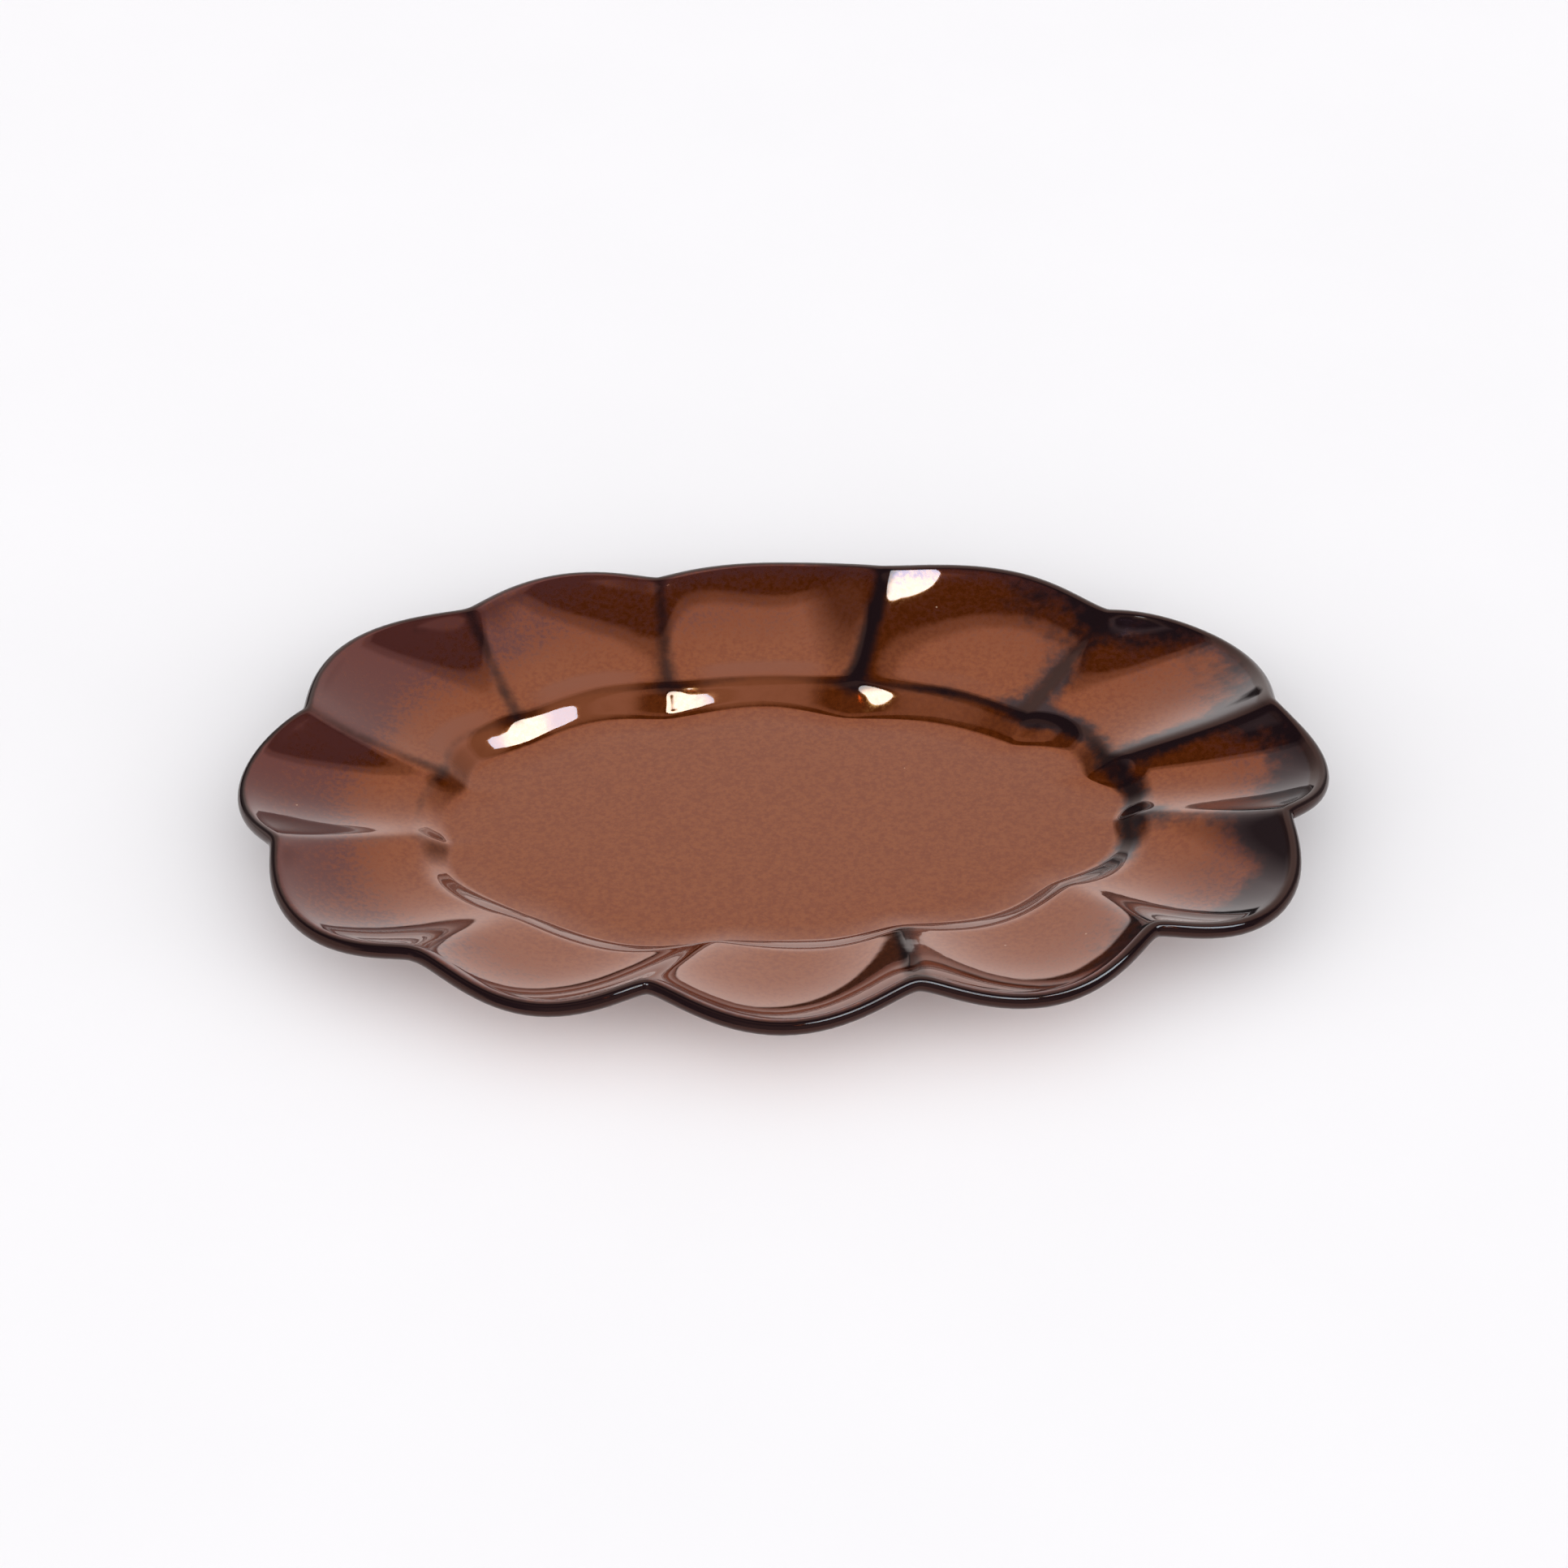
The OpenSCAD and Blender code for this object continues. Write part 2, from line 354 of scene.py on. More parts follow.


# %% [markdown]
# ## Where the glaze changes colour
# A brown glaze is amber where it lies thick, and plum to black where it runs thin: on ridges, round the
# rim and along the top of the step. Round and under the rim the black is partly painted shade as well, for
# the shade there and the dark floor that the rim mirrors. On the back petals the step gets a lighter, milky
# body: painted reflection, for the brighter studio that a gentler step would mirror. On the real dish one
# end has ragged dark patches and the other end a soft plum bloom. Painted maps could hold this, but numbers
# on every vertex do the same with no picture, so each ring gets four as it grows: dark lines, plum, blotch
# and step sheen.

# %% Lines, blooms and patches of the glaze
# Lists go round the dish from the right-hand petal, and ridge k lies after petal k
RIDGE_THIN = [0.9, 0.9, 1, 0.75, 0.75, 0.65, 0.45, 0.35, 0.3, 1, 0.35, 0.6]
RIDGE_BLOTCH = [1, 0.6, 0.2, 0, 0, 0, 0, 0, 0, 0.2, 0.3, 0.8]
# Round the rim the black band is partly thin glaze and partly painted shade
RIM_BLACK_AND_SHADE_MM = [2.4, 2.2, 1.6, 1.3, 1.2, 1.3, 1.2, 1.1, 1.1, 1.1, 1.1, 1.6]
RIM_BLOTCH = [0.95, 0.8, 0.4, 0.15, 0.1, 0.1, 0.1, 0.1, 0.1, 0.1, 0.4, 0.95]
STEP_THIN = [1, 0.9, 0.85, 0.5, 0.45, 0.5, 0.6, 0.1, 0.1, 0.1, 0.2, 1]
STEP_LINE_MM = [2, 3.5, 3.9, 3.9, 3.9, 3.9, 3.5, 3.9, 3.9, 3.9, 3.9, 2]
STEP_BLOTCH = [0.9, 0.9, 0.5, 0, 0, 0, 0.2, 0, 0, 0, 0.2, 0.9]
PLUM = [0.55, 0.45, 0.3, 0.4, 0.6, 1, 1, 0.8, 0.3, 0.2, 0.3, 0.7]
# Painted reflection: a lighter step band on the back petals, for the brighter studio a gentler step would
# mirror
STEP_SHEEN = [0, 0.2, 0.45, 0.8, 0.85, 0.8, 0.3, 0, 0, 0, 0, 0]
RIDGE_LINE_W = 1.5 * MM
RIDGE_PATCH_W = 3.5 * MM
STEP_LINE_W = 0.9 * MM
STEP_PATCH_W = 2 * MM
RIM_SOFT = 0.9 * MM
RIM_PLUM, RIM_PLUM_W = 0.75, 1.4 * MM
# How far the black reaches under the rim: partly painted shade on the underside
UNDER_BLACK_AND_SHADE = 2.5 * MM
# Shares of the way out from the well, and for the painted step sheen of the way across half a petal
RIDGE_FADE = 0.25
PLUM_FROM, PLUM_FULL = 0.25, 0.75
PATCH_FROM, PATCH_FULL = 0.5, 1
STEP_SHEEN_FULL, STEP_SHEEN_END = 0.4, 0.9
ROLL = RIM_R * math.pi / 2
# Half a petal's width at the well and at the rim
PETAL_HALF_W = (7 * MM, 14 * MM)
FINISHES = ("dark_lines", "plum", "blotch", "pool_and_step_sheen")


def hump(distance, width):
    """1 on a line, falling to 0 beside it."""
    return math.exp(-((distance / width) ** 2))


def ramp(x, none, full):
    """A soft change from 0 at one value of x to 1 at another."""
    return eased((x - none) / (full - none))


def joined(*shares):
    """Shares of cover laid over each other."""
    bare = 1
    for cover in shares:
        bare *= 1 - cover
    return 1 - bare


def inside_edge(s):
    """How far inside the rim's outermost line a place lies, less than 0 underneath."""
    if s <= 1:
        return ROLL + (1 - s) * PETAL_W
    if s >= 2:
        return -ROLL - (s - 2) * PETAL_W
    return (3 - 2 * s) * ROLL


def finish_at(q, s):
    """Dark lines (thin glaze, partly painted shade at the rim), plum, blotch and painted step sheen, each 0
    to 1.
    """
    if s <= 0:
        return 0, 0, 0, 0
    k, u = petal_and_place(q)
    ridge = k if u >= 0 else (k - 1) % PETALS
    from_well = s * PETAL_W
    from_rim = PETAL_W * max(1 - s, s - 2, 0)
    outward = 1 - from_rim / PETAL_W
    from_ridge = (1 - abs(u)) * mix(*PETAL_HALF_W, outward)
    from_step = from_well - shared(STEP_LINE_MM, k, u) * MM
    edge = inside_edge(s)
    black_to = shared(RIM_BLACK_AND_SHADE_MM, k, u) * MM
    soft = RIM_SOFT / 2
    on_ridge = ramp(outward, 0, RIDGE_FADE)
    on_rim = ramp(edge, black_to + soft, black_to - soft)
    not_below = ramp(edge, -UNDER_BLACK_AND_SHADE - soft, -UNDER_BLACK_AND_SHADE + soft)
    # Dark lines: thin glaze on ridges and the step; round and under the rim partly painted shade
    dark_lines = joined(
        RIDGE_THIN[ridge] * hump(from_ridge, RIDGE_LINE_W) * on_ridge,
        on_rim * not_below,
        shared(STEP_THIN, k, u) * hump(from_step, STEP_LINE_W),
    )
    plum = joined(
        shared(PLUM, k, u) * ramp(outward, PLUM_FROM, PLUM_FULL),
        RIM_PLUM * hump(from_rim, RIM_PLUM_W),
    )
    blotch = joined(
        RIDGE_BLOTCH[ridge] * hump(from_ridge, RIDGE_PATCH_W) * on_ridge,
        shared(RIM_BLOTCH, k, u) * ramp(outward, PATCH_FROM, PATCH_FULL),
        shared(STEP_BLOTCH, k, u) * hump(from_step, STEP_PATCH_W),
    )
    past_step = STEP_W + STEP_FOOT_W
    on_step = ramp(from_well, 0, STEP_FOOT_W) * ramp(from_well, past_step + STEP_FOOT_W, past_step)
    # Painted reflection: the step of the back petals gets a lighter body
    pool_and_step_sheen = shared(STEP_SHEEN, k, u) * on_step * ramp(abs(u), STEP_SHEEN_END, STEP_SHEEN_FULL)
    return dark_lines, plum, blotch, pool_and_step_sheen


print("glaze at a ridge's end:", [round(x, 2) for x in finish_at(1, 0.95)])


# %% [markdown]
# ## Growing the skin
# The columns stand closer together at the ridges, where the form turns quickest: even columns would need
# to be many more for ridges as crisp. The disc comes first. Then the rings are extruded one by one, and
# each new ring is moved to its place and given its four numbers.

# %% First disc
RIDGE_CROWD = 0.5
FIRST_RING = 1 / FLOOR_RINGS


def column_place(j):
    """The petal count q of column j, with the columns closer together at the ridges."""
    k, v = petal_and_place(j / ACROSS)
    return k + (1 + mix(v, math.sin(math.pi / 2 * v), RIDGE_CROWD)) / 2


nothing_selected()
bpy.ops.mesh.primitive_circle_add(vertices=COLUMNS, radius=WELL.y / 4, fill_type="TRIFAN")
skin = bpy.context.object
skin.name = "glazed_skin"
bpy.ops.object.mode_set(mode="EDIT")
bpy.ops.mesh.select_mode(type="EDGE")
bpy.ops.mesh.select_all(action="DESELECT")
grid = bmesh.from_edit_mesh(skin.data)
column = grid.verts.layers.int.new("column")
for name in FINISHES:
    grid.verts.layers.float.new(name)
for vertex in grid.verts:
    if vertex.is_boundary:
        turn = math.atan2(vertex.co.y, vertex.co.x) / (2 * math.pi)
        vertex[column] = round(turn * COLUMNS) % COLUMNS
        vertex.co = floor_point(column_place(vertex[column]), FIRST_RING)
    else:
        vertex.co = (0, 0, FLOOR_Z)
for edge in grid.edges:
    edge.select = edge.is_boundary
print("disc:", len(grid.faces), "faces,", sum(edge.select for edge in grid.edges), "edges to grow from")
bmesh.update_edit_mesh(skin.data)

# %% Ring after ring
LOOKS_UP = 0.9

for place, s in rings:
    bpy.ops.mesh.extrude_edges_move()
    grid = bmesh.from_edit_mesh(skin.data)
    column = grid.verts.layers.int["column"]
    finish_layers = [grid.verts.layers.float[name] for name in FINISHES]
    for vertex in grid.verts:
        if vertex.select:
            q = column_place(vertex[column])
            vertex.co = place(q)
            for layer, value in zip(finish_layers, finish_at(q, s)):
                vertex[layer] = value
bmesh.update_edit_mesh(skin.data)
bpy.ops.object.mode_set(mode="OBJECT")
print("skin:", len(skin.data.vertices), "vertices,", len(skin.data.polygons), "faces")
print("faces that look up:", sum(f.normal.z > LOOKS_UP for f in skin.data.polygons))

# %% [markdown]
# ## Thickness of the skin
# Glaze has a thickness, about a third of a millimetre here, and its edge shows at the wiped line. A second
# surface could be modelled by hand, but Solidify gives it in one step, inward from the glazed face.

# %% Thickness of the skin
bpy.ops.object.shade_smooth()
thickness = skin.modifiers.new("thickness", "SOLIDIFY")
thickness.thickness = GLAZE_T
thickness.offset = -1
bpy.ops.object.modifier_apply(modifier=thickness.name)
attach(skin, "root")
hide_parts("glaze_coat")
print("with its thickness:", len(skin.data.polygons), "faces")

# %% [markdown]
# ## The amber glaze
# Seen straight on, this glaze is a deep amber glass, almost black-brown. The milky brown of the photograph
# is the white studio in it: fine crystals just under the surface throw the light back in the glaze's own
# colour, and the clear skin above them mirrors a little of it white. So the shader has a dark amber body,
# a strong amber gleam over that and a thin clear coat. The four vertex numbers and some noise decide
# where amber turns to plum and black, where painted shade blackens the rim and where a painted reflection
# lightens the step, and faint orange peel keeps the mirror from being perfect.


# %% Words for node trees
NOISE_MEAN = 0.5
SPECK_CORE = 0.6


class Recipe:
    """A material's node tree with short words for its nodes."""

    def __init__(self, name):
        self.material = bpy.data.materials.new(name)
        self.material.use_nodes = True
        self.tree = self.material.node_tree
        self.shader = self.tree.nodes["Principled BSDF"]
        self.place = self.node("ShaderNodeTexCoord").outputs["Object"]

    def node(self, kind, **settings):
        made = self.tree.nodes.new(kind)
        for name, value in settings.items():
            setattr(made, name, value)
        return made

    def feed(self, socket, value):
        if isinstance(value, bpy.types.NodeSocket):
            self.tree.links.new(value, socket)
        else:
            socket.default_value = value

    def noise(self, size, detail=2, roughness=0.5):
        """Noise whose lumps are about this many metres wide."""
        made = self.node("ShaderNodeTexNoise")
        self.feed(made.inputs["Vector"], self.place)
        made.inputs["Scale"].default_value = 1 / size
        made.inputs["Detail"].default_value = detail
        made.inputs["Roughness"].default_value = roughness
        return made.outputs["Fac"]

    def attribute(self, name):
        return self.node("ShaderNodeAttribute", attribute_name=name).outputs["Fac"]

    def combined(self, a, b, operation="ADD"):
        made = self.node("ShaderNodeMath", operation=operation)
        self.feed(made.inputs[0], a)
        self.feed(made.inputs[1], b)
        return made.outputs["Value"]

    def centred(self, value, depth):
        """The value about zero, so that it moves an edge in and out by this depth."""
        return self.combined(self.combined(value, NOISE_MEAN, "SUBTRACT"), depth, "MULTIPLY")

    def specks(self, apart, radius, rare):
        """1 on round specks that lie about this far apart, with the rare share of them left out."""
        made = self.node("ShaderNodeTexVoronoi")
        self.feed(made.inputs["Vector"], self.place)
        made.inputs["Scale"].default_value = 1 / apart
        reach = radius / apart
        near = self.ranged(made.outputs["Distance"], SPECK_CORE * reach, reach, 1, 0)
        kept = self.combined(made.outputs["Color"], rare, "GREATER_THAN")
        return self.combined(near, kept, "MULTIPLY")

    def ranged(self, value, low, high, to_low=0, to_high=1):
        """The value's way from low to high, as a soft change between two other numbers."""
        made = self.node("ShaderNodeMapRange", interpolation_type="SMOOTHSTEP")
        self.feed(made.inputs["Value"], value)
        made.inputs["From Min"].default_value = low
        made.inputs["From Max"].default_value = high
        made.inputs["To Min"].default_value = to_low
        made.inputs["To Max"].default_value = to_high
        return made.outputs["Result"]

    def mixed(self, share, a, b):
        made = self.node("ShaderNodeMix", data_type="RGBA")
        self.feed(made.inputs["Factor"], share)
        self.feed(made.inputs["A"], a)
        self.feed(made.inputs["B"], b)
        return made.outputs["Result"]

    def bump(self, height, depth):
        made = self.node("ShaderNodeBump")
        made.inputs["Distance"].default_value = depth
        self.feed(made.inputs["Height"], height)
        return made.outputs["Normal"]


# %% Where each colour lies
CLOUD_SIZE, RAGGED_SIZE, MOTTLE_SIZE = 9 * MM, 1.4 * MM, 0.6 * MM
MOTTLE_RANGE = (0.3, 0.7)
# How far fine noise and broad clouds move an edge in and out
LINE_WANDER, PATCH_WANDER, BLOOM_WANDER = (0.3, 0.5), (0.6, 1.3), (0.5, 0.6)
# The number from which a cover shows, and the one at which it is whole
LINE_SHOWS, PATCH_SHOWS = (0.3, 0.95), (0.35, 0.85)
BLOOM_SHOWS, STEP_SHEEN_SHOWS = (0.2, 1), (0.1, 0.9)
SPECK_APART, SPECK_R, SPECK_RARE = 5 * MM, 0.17 * MM, 0.7

glaze = Recipe("amber_glaze")
clouds = glaze.noise(CLOUD_SIZE, detail=4, roughness=0.55)
ragged = glaze.noise(RAGGED_SIZE, detail=3, roughness=0.6)
mottle = glaze.ranged(glaze.noise(MOTTLE_SIZE, detail=3, roughness=0.6), *MOTTLE_RANGE)


def cover(finish, fine, wander, shows):
    """How much a finish covers here: its vertex number, with an edge that fine noise and clouds move."""
    edge = glaze.combined(glaze.centred(fine, wander[0]), glaze.centred(clouds, wander[1]))
    return glaze.ranged(glaze.combined(glaze.attribute(finish), edge), *shows)


lines = cover("dark_lines", ragged, LINE_WANDER, LINE_SHOWS)
patches = cover("blotch", ragged, PATCH_WANDER, PATCH_SHOWS)
bloom = cover("plum", mottle, BLOOM_WANDER, BLOOM_SHOWS)
# Painted reflection on the step of the back petals
step_sheen = cover("pool_and_step_sheen", ragged, LINE_WANDER, STEP_SHEEN_SHOWS)
black = glaze.combined(lines, patches, "MAXIMUM")
specks = glaze.specks(SPECK_APART, SPECK_R, SPECK_RARE)
print("covers of the glaze:", FINISHES)

# %% Colours of the glaze
# Each colour has a body, which scatters light, and a gleam, which tints what the glaze mirrors
AMBER = [(0.050, 0.009, 0.001, 1), (0.078, 0.015, 0.002, 1)]
AMBER_GLEAM = [(0.82, 0.17, 0.03, 1), (1, 0.27, 0.065, 1)]
# The step's lighter body is a painted reflection of the brighter studio
STEP_SHEEN_BODY, STEP_SHEEN_GLEAM = (0.150, 0.045, 0.019, 1), (0.35, 0.07, 0.02, 1)
PLUM_BODY, PLUM_GLEAM = (0.050, 0.014, 0.012, 1), (0.33, 0.06, 0.035, 1)
# Black on lines and patches; round the rim it is partly painted shade
BLACK_BODY, BLACK_GLEAM = (0.008, 0.004, 0.005, 1), (0.12, 0.03, 0.03, 1)
LINE_GLEAM = (0.16, 0.05, 0.02, 1)
SPECK_BODY = (0.30, 0.20, 0.14, 1)

amber = glaze.mixed(mottle, *AMBER)
amber_gleam = glaze.mixed(mottle, *AMBER_GLEAM)
body = glaze.mixed(step_sheen, glaze.mixed(bloom, amber, PLUM_BODY), STEP_SHEEN_BODY)
body = glaze.mixed(black, body, BLACK_BODY)
gleam = glaze.mixed(step_sheen, glaze.mixed(bloom, amber_gleam, PLUM_GLEAM), STEP_SHEEN_GLEAM)
gleam = glaze.mixed(lines, glaze.mixed(patches, gleam, BLACK_GLEAM), LINE_GLEAM)
glaze.feed(glaze.shader.inputs["Base Color"], glaze.mixed(specks, body, SPECK_BODY))
glaze.feed(glaze.shader.inputs["Specular Tint"], gleam)
print("glaze so far:", len(glaze.tree.nodes), "nodes")

# %% Shine of the glaze
PEEL_SIZE, PEEL_DEPTH = 2.2 * MM, 0.006 * MM
GLAZE_ROUGHNESS = (0.05, 0.07)
COAT, COAT_ON_LINES = 1, 0.4
GLAZE_IOR, COAT_IOR = 1.9, 1.36
GLEAM_LEVEL = 1
COAT_ROUGHNESS = 0.02

orange_peel = glaze.bump(glaze.noise(PEEL_SIZE, detail=1), PEEL_DEPTH)
glaze.feed(glaze.shader.inputs["Roughness"], glaze.ranged(mottle, 0, 1, *GLAZE_ROUGHNESS))
glaze.feed(glaze.shader.inputs["Coat Weight"], glaze.ranged(lines, 0, 1, COAT, COAT_ON_LINES))
glaze.feed(glaze.shader.inputs["Normal"], orange_peel)
glaze.feed(glaze.shader.inputs["Coat Normal"], orange_peel)
glaze.shader.inputs["IOR"].default_value = GLAZE_IOR
glaze.shader.inputs["Specular IOR Level"].default_value = GLEAM_LEVEL
glaze.shader.inputs["Coat Roughness"].default_value = COAT_ROUGHNESS
glaze.shader.inputs["Coat IOR"].default_value = COAT_IOR
skin.data.materials.append(glaze.material)
print("amber glaze:", len(glaze.tree.nodes), "nodes on", skin.name)

# %% [markdown]
# ## The foot
# Under the dish a low oval foot was luted to the slab and trimmed. A bevelled tube would do for a round
# foot, but this one is drawn out, so its outline is a circle that is pressed to the foot's four arcs.
# Its edge is extruded down, across and up again, the top is bridged shut, and the two edges that meet
# the table are bevelled, as a wet sponge softens them.

# %% Foot
FOOT_COLUMNS = 192
FOOT_LEAN = 0.25 * MM
FOOT_EDGE = 0.55 * MM
FOOT_EDGE_STEPS = 4
SHARP = math.radians(60)


def press_to_foot(piece, out, z):
    """Moves the selected ring of a piece to the foot's outline, moved out, at height z."""
    ring = bmesh.from_edit_mesh(piece.data)
    for vertex in ring.verts:
        if vertex.select:
            turn = vertex[ring.verts.layers.float["turn"]]
            vertex.co = (*foot_outline(turn, out), z)
    bmesh.update_edit_mesh(piece.data)


def foot_circle(name, fill):
    """A circle in edit mode, selected, whose vertices know the way that they face."""
    nothing_selected()
    bpy.ops.mesh.primitive_circle_add(vertices=FOOT_COLUMNS, radius=FOOT.y, fill_type=fill)
    piece = bpy.context.object
    piece.name = name
    bpy.ops.object.mode_set(mode="EDIT")
    ring = bmesh.from_edit_mesh(piece.data)
    turn = ring.verts.layers.float.new("turn")
    for vertex in ring.verts:
        vertex[turn] = math.atan2(vertex.co.y, vertex.co.x)
    bmesh.update_edit_mesh(piece.data)
    return piece


def sharp_ring(piece, z):
    """Selects the sharp edges that lie at height z, and counts them."""
    bpy.ops.mesh.select_mode(type="EDGE")
    bpy.ops.mesh.select_all(action="DESELECT")
    ring = bmesh.from_edit_mesh(piece.data)
    for edge in ring.edges:
        level = all(abs(vertex.co.z - z) < PROBE * MM for vertex in edge.verts)
        edge.select_set(level and edge.is_manifold and edge.calc_face_angle() > SHARP)
    bmesh.update_edit_mesh(piece.data)
    return sum(edge.select for edge in ring.edges)


foot = foot_circle("trimmed_foot", "NOTHING")
press_to_foot(foot, 0, FOOT_H)
for out, z in ((-FOOT_LEAN, 0), (FOOT_LEAN - FOOT_W, 0), (-FOOT_W, FOOT_H)):
    bpy.ops.mesh.extrude_edges_move()
    press_to_foot(foot, out, z)
bpy.ops.mesh.select_all(action="DESELECT")
bpy.ops.mesh.select_non_manifold()
bpy.ops.mesh.bridge_edge_loops()
bpy.ops.mesh.select_all(action="SELECT")
bpy.ops.mesh.normals_make_consistent(inside=False)
print("edges to soften:", sharp_ring(foot, 0))
bpy.ops.mesh.bevel(offset=FOOT_EDGE, segments=FOOT_EDGE_STEPS, affect="EDGES")
bpy.ops.object.mode_set(mode="OBJECT")
bpy.ops.object.shade_smooth_by_angle(angle=SHARP)
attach(foot, "root")
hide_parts("foot_ring")
print("foot:", len(foot.data.polygons), "faces")

# %% [markdown]
# ## The glaze inside the foot
# The base inside the foot has its own pool of glaze, wiped back from the foot so that it doesn't stick
# to the kiln shelf. It is a filled circle on the same outline, extruded down by the glaze's thickness.
# Melted glaze draws up into a rounded edge with a slightly lower middle: a bevel and an inset give that.

# %% Glaze inside the foot
POOL_EDGE = 0.3 * MM
POOL_EDGE_STEPS = 4
POOL_LIP = 2.5 * MM
POOL_HOLLOW = 0.06 * MM
LOOKS_DOWN = -0.99

pool_and_step_sheen = foot_circle("base_glaze_pool", "NGON")
press_to_foot(pool_and_step_sheen, -FOOT_W - WIPED_W, FOOT_H)
bpy.ops.mesh.extrude_region_move(TRANSFORM_OT_translate={"value": (0, 0, -GLAZE_T)})
bpy.ops.mesh.select_all(action="SELECT")
bpy.ops.mesh.normals_make_consistent(inside=False)
print("edges to round:", sharp_ring(pool_and_step_sheen, FOOT_H - GLAZE_T))
bpy.ops.mesh.bevel(offset=POOL_EDGE, segments=POOL_EDGE_STEPS, affect="EDGES")
bpy.ops.mesh.select_mode(type="FACE")
bpy.ops.mesh.select_all(action="DESELECT")
disc = bmesh.from_edit_mesh(pool_and_step_sheen.data)
for polygon in disc.faces:
    polygon.select_set(polygon.normal.z < LOOKS_DOWN)
bmesh.update_edit_mesh(pool_and_step_sheen.data)
bpy.ops.mesh.inset(thickness=POOL_LIP)
bpy.ops.transform.translate(value=(0, 0, POOL_HOLLOW))
bpy.ops.object.mode_set(mode="OBJECT")
bpy.ops.object.shade_smooth_by_angle(angle=SHARP)
pool_and_step_sheen.data.materials.append(glaze.material)
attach(pool_and_step_sheen, "root")
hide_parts("base_glaze")
print("pool:", len(pool_and_step_sheen.data.polygons), "faces")

# %% [markdown]
# ## Bare clay
# The foot and the wiped line beside it show the stoneware itself: buff, dry to the touch, with fine
# grog and a few iron specks. A broad noise tints it, a fine one gives its grain, and it stays matt.

# %% Bare clay
CLAY = [(0.46, 0.33, 0.23, 1), (0.60, 0.47, 0.35, 1)]
GROG = (0.70, 0.60, 0.48, 1)
IRON = (0.10, 0.045, 0.02, 1)
CLOUDY_SIZE, GRAIN_SIZE, GRAIN_DEPTH = 8 * MM, 0.35 * MM, 0.03 * MM
GROG_SHOWS = (0.55, 0.75)
IRON_APART, IRON_R, IRON_RARE = 2.2 * MM, 0.14 * MM, 0.55
GRAIN_RANGE, CLAY_ROUGHNESS = (0.3, 0.7), (0.78, 0.95)

clay = Recipe("bare_clay")
tint = clay.mixed(clay.noise(CLOUDY_SIZE, detail=3), *CLAY)
grain = clay.noise(GRAIN_SIZE, detail=3, roughness=0.7)
tint = clay.mixed(clay.ranged(grain, *GROG_SHOWS), tint, GROG)
tint = clay.mixed(clay.specks(IRON_APART, IRON_R, IRON_RARE), tint, IRON)
clay.feed(clay.shader.inputs["Base Color"], tint)
clay.feed(clay.shader.inputs["Roughness"], clay.ranged(grain, *GRAIN_RANGE, *CLAY_ROUGHNESS))
clay.feed(clay.shader.inputs["Normal"], clay.bump(grain, GRAIN_DEPTH))
foot.data.materials.append(clay.material)
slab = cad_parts["clay_body"]
for place in slab.material_slots:
    place.material = clay.material
print("bare clay on", foot.name, "and", slab.name)

# %% [markdown]
# ## The floor
# The dish stands on plain pale paper. A plane is enough, wide enough that its edge is never seen, with a
# faint cloudiness so that it isn't one flat colour.

# %% Floor
FLOOR_SIDE = 6
PAPER = [(0.885, 0.87, 0.89, 1), (0.915, 0.90, 0.92, 1)]
PAPER_CLOUDS = 40 * MM
PAPER_ROUGHNESS, PAPER_GLOSS = 0.9, 0.1

nothing_selected()
bpy.ops.mesh.primitive_plane_add(size=FLOOR_SIDE)
floor = bpy.context.object
floor.name = "floor"
paper = Recipe("floor_paper")
cloudy = paper.noise(PAPER_CLOUDS, detail=3)
paper.feed(paper.shader.inputs["Base Color"], paper.mixed(cloudy, *PAPER))
paper.shader.inputs["Roughness"].default_value = PAPER_ROUGHNESS
paper.shader.inputs["Specular IOR Level"].default_value = PAPER_GLOSS
floor.data.materials.append(paper.material)
print("floor at z =", floor.location.z)

# %% [markdown]
# ## The two skies
# A shiny glaze shows its surroundings. Real sheets and boards round the dish would do, but a sky of bands
# is easier to steer, because each band is one angle. A dome that is brightest in front lights the paper and
# the clay. The glaze mirrors another sky: a white sweep behind the dish, dark below a slanting skyline and
# dim past its sides, then a dark ceiling, a dim room in front and a pale board at either end.

# %% Words for the sky
world = bpy.data.worlds.new("studio")
bpy.context.scene.world = world
world.use_nodes = True
nodes, links = world.node_tree.nodes, world.node_tree.links


def way_to(up, side):
    """The direction at this many degrees up from the back horizon, and to the right."""
    up, side = math.radians(up), math.radians(side)
    return Vector((math.sin(side), math.cos(side) * math.cos(up), math.cos(side) * math.sin(up)))


def sky_node(kind, *fed, **settings):
    """A node of the sky, with its inputs linked or set in order."""
    made = nodes.new(kind)
    for name, value in settings.items():
        setattr(made, name, value)
    for socket, value in zip(made.inputs, fed):
        if isinstance(value, bpy.types.NodeSocket):
            links.new(value, socket)
        else:
            socket.default_value = value
    return made.outputs


def times(a, b):
    return sky_node("ShaderNodeMath", a, b, operation="MULTIPLY")[0]


def arch(stops, turn):
    """Light over the dish, from the back horizon at 0 degrees over the top to the front one at 180."""
    share = sky_node("ShaderNodeMath", turn, math.pi, operation="DIVIDE")[0]
    bands = nodes.new("ShaderNodeValToRGB")
    elements = bands.color_ramp.elements
    for degrees, light in stops:
        ends = {0: elements[0], 180: elements[-1]}
        element = ends.get(degrees) or elements.new(degrees / 180)
        element.color = (light, light, light, 1)
    links.new(share, bands.inputs[0])
    return bands.outputs[0]


way = nodes.new("ShaderNodeTexCoord").outputs["Generated"]
axes = sky_node("ShaderNodeSeparateXYZ", way)
angle = sky_node("ShaderNodeMath", axes["Z"], axes["Y"], operation="ARCTAN2")[0]
print("90 degrees up is", [round(c, 2) for c in way_to(90, 0)])

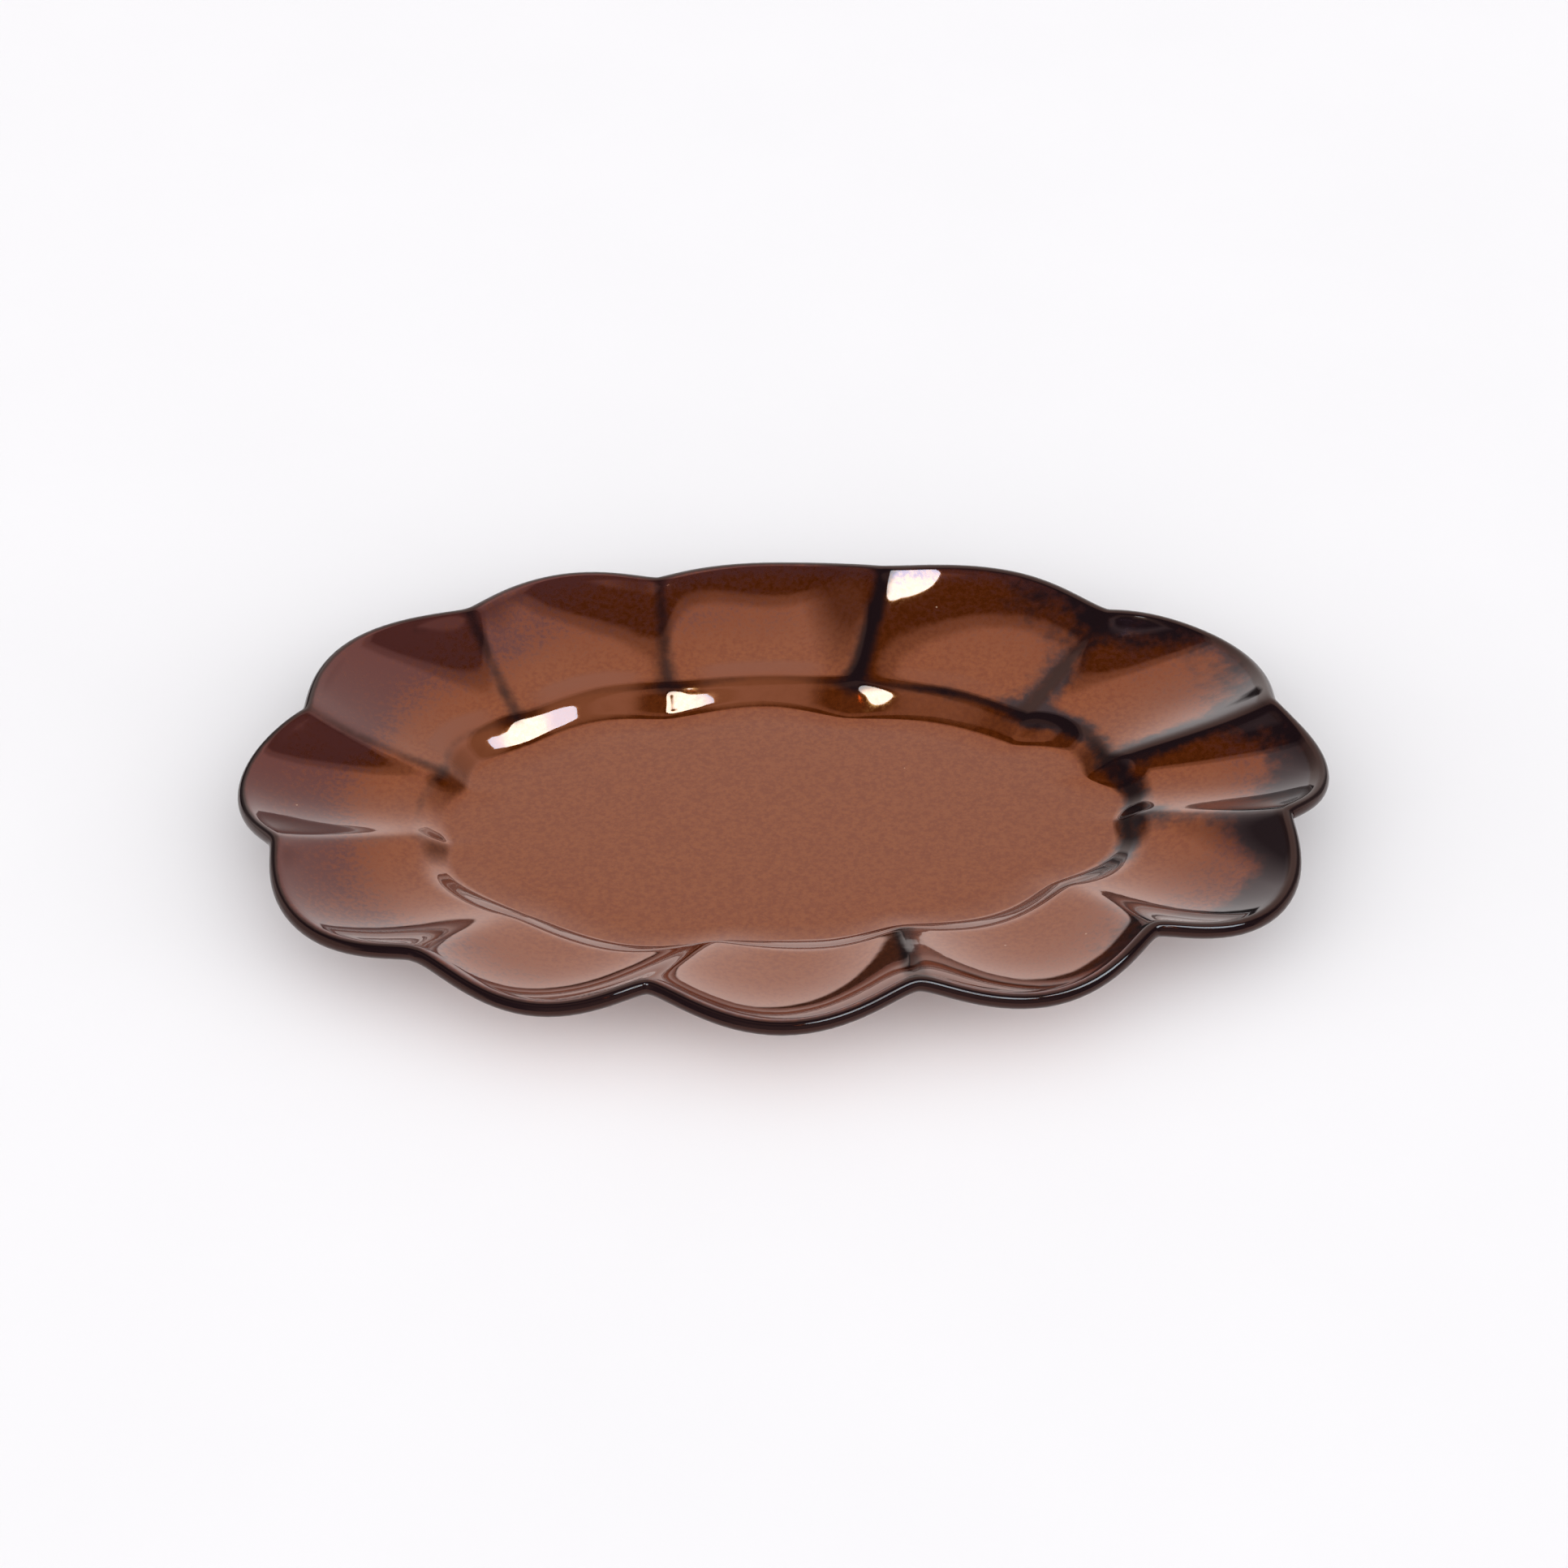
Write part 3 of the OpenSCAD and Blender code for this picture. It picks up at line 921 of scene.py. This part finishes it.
# %% How wide the sweep is
SWEEP_FULL, SWEEP_END = math.radians(22), math.radians(37)
SWEEP_MIDDLE = 0.08
SWEEP_BEYOND = 0.15
SKYLINE_LOW, SKYLINE_HIGH = math.radians(3), math.radians(4.5)
SKYLINE_SLANT = 0.32
SKYLINE_BELOW = 0.03
SOFTBOX_UP, SOFTBOX_SIDE = 113, 12.5
FRAME_INNER, FRAME_OUTER = math.radians(10.5), math.radians(13)

off_middle = sky_node("ShaderNodeMath", axes["X"], SWEEP_MIDDLE, operation="SUBTRACT")[0]
aside = sky_node("ShaderNodeMath", off_middle, operation="ABSOLUTE")[0]
sides = math.sin(SWEEP_FULL), math.sin(SWEEP_END)
swept = sky_node("ShaderNodeMapRange", aside, *sides, 1, SWEEP_BEYOND)[0]
slanted = sky_node("ShaderNodeMath", axes["X"], SKYLINE_SLANT, angle, operation="MULTIPLY_ADD")[0]
skyline = sky_node("ShaderNodeMapRange", slanted, SKYLINE_LOW, SKYLINE_HIGH, SKYLINE_BELOW, 1)[0]
to_softbox = way_to(SOFTBOX_UP, SOFTBOX_SIDE)
near = sky_node("ShaderNodeVectorMath", way, to_softbox, operation="DOT_PRODUCT")["Value"]
black_frame = math.cos(FRAME_OUTER), math.cos(FRAME_INNER)
outside_frame = sky_node("ShaderNodeMapRange", near, *black_frame, 1, 0)[0]
seen = times(outside_frame, times(swept, skyline))
print("the softbox stands towards", [round(c, 2) for c in to_softbox])

# %% What the glaze mirrors, and what lights the rest
# Degrees up from the back horizon and over the dish to the front one, each with its light
MIRRORED = [(0, 1.3), (8, 1.3), (22, 1.15), (36, 1), (68.5, 1), (71, 0.55), (74, 0.45), (76, 0.03)]
MIRRORED += [(94, 0.03), (97, 0.4), (106, 0.4), (112, 0.07), (128, 0.07), (136, 0.3), (180, 0.3)]
DOME = [(0, 0.1), (50, 0.26), (80, 0.55), (105, 0.92), (120, 2), (135, 3.1), (150, 2.4), (180, 1.5)]
SWEEP_LEAN = -0.1
BOARD_FROM, BOARD_FULL = math.radians(52), math.radians(60)
BOARD_LIGHT = 0.7

lean = sky_node("ShaderNodeMath", axes["X"], SWEEP_LEAN, 1, operation="MULTIPLY_ADD")[0]
framed = sky_node("ShaderNodeVectorMath", arch(MIRRORED, times(angle, lean)), operation="SCALE")[0]
links.new(seen, framed.node.inputs["Scale"])
ends = math.sin(BOARD_FROM), math.sin(BOARD_FULL)
boards = sky_node("ShaderNodeMapRange", aside, *ends, 0, BOARD_LIGHT)[0]
mirrored = sky_node("ShaderNodeVectorMath", framed, boards, operation="ADD")[0]
sky = nodes.new("ShaderNodeMix")
sky.data_type = "RGBA"
links.new(nodes.new("ShaderNodeLightPath").outputs["Is Glossy Ray"], sky.inputs["Factor"])
links.new(arch(DOME, angle), sky.inputs["A"])
links.new(mirrored, sky.inputs["B"])
links.new(sky.outputs["Result"], nodes["Background"].inputs["Color"])
print("sky:", len(nodes), "nodes")

# %% [markdown]
# ## Lamps
# The white spots on the step are one round softbox, mirrored once in each foot of a ridge, with its hub
# as a dark dot and a warm bulb at three corners of its frame. A second softbox stands to the right and
# shows beside one ridge. Glowing discs would do as well, but a lamp has its size, colour and strength in
# one place. They only show in the glaze: the dome lights everything else.

# %% Lamps
LAMP_DISTANCE = 1.2
SOFTBOX_SIZE, BOX_GLOW = (0.4, 0.36), 26
SIDE_BOX_UP, SIDE_BOX_SIDE = 99, 30.5
SIDE_BOX_SIZE = (0.34, 0.46)
HUB, HUB_PLACE = 0.16, (0.5, 0.5, 0)
BULB_OFF = 9.5
BULB_CORNERS = ((-1, 1), (1, -1), (1, 1))
BULB_SIZE, BULB_GLOW = (0.04, 0.04), 9
WARM = (1, 0.42, 0.1)
COOL = (0.3, 0.66, 1)


def lamp_at(name, up, side, size, glow, colour):
    """A round lamp that only the glaze mirrors, facing the dish."""
    towards = way_to(up, side)
    nothing_selected()
    bpy.ops.object.light_add(type="AREA", location=towards * LAMP_DISTANCE)
    lamp = bpy.context.object
    lamp.name = name
    lamp.data.shape = "ELLIPSE"
    lamp.data.size, lamp.data.size_y = size
    lamp.data.color = colour
    area = math.pi / 4 * size[0] * size[1]
    lamp.data.energy = glow * math.pi * area
    lamp.rotation_euler = (-towards).to_track_quat("-Z", "Y").to_euler()
    lamp.visible_diffuse = False
    lamp.visible_camera = False
    return lamp


def give_hub(lamp):
    """A dark spot in the middle of a lamp, where its bulb is held."""
    lamp.data.use_nodes = True
    tree = lamp.data.node_tree
    spot = tree.nodes.new("ShaderNodeVectorMath")
    spot.operation = "DISTANCE"
    spot.inputs[1].default_value = HUB_PLACE
    tree.links.new(tree.nodes.new("ShaderNodeNewGeometry").outputs["Parametric"], spot.inputs[0])
    lit = tree.nodes.new("ShaderNodeMapRange")
    tree.links.new(spot.outputs["Value"], lit.inputs["Value"])
    lit.inputs["From Min"].default_value = HUB / 2
    lit.inputs["From Max"].default_value = HUB
    tree.links.new(lit.outputs["Result"], tree.nodes["Emission"].inputs["Strength"])


softbox = lamp_at("softbox", SOFTBOX_UP, SOFTBOX_SIDE, SOFTBOX_SIZE, BOX_GLOW, COOL)
give_hub(softbox)
lamp_at("side_softbox", SIDE_BOX_UP, SIDE_BOX_SIDE, SIDE_BOX_SIZE, BOX_GLOW, COOL)
for up, side in BULB_CORNERS:
    bulb_up, bulb_side = SOFTBOX_UP + up * BULB_OFF, SOFTBOX_SIDE + side * BULB_OFF
    lamp_at("warm_bulb", bulb_up, bulb_side, BULB_SIZE, BULB_GLOW, WARM)

bpy.context.scene.view_settings.view_transform = "Standard"
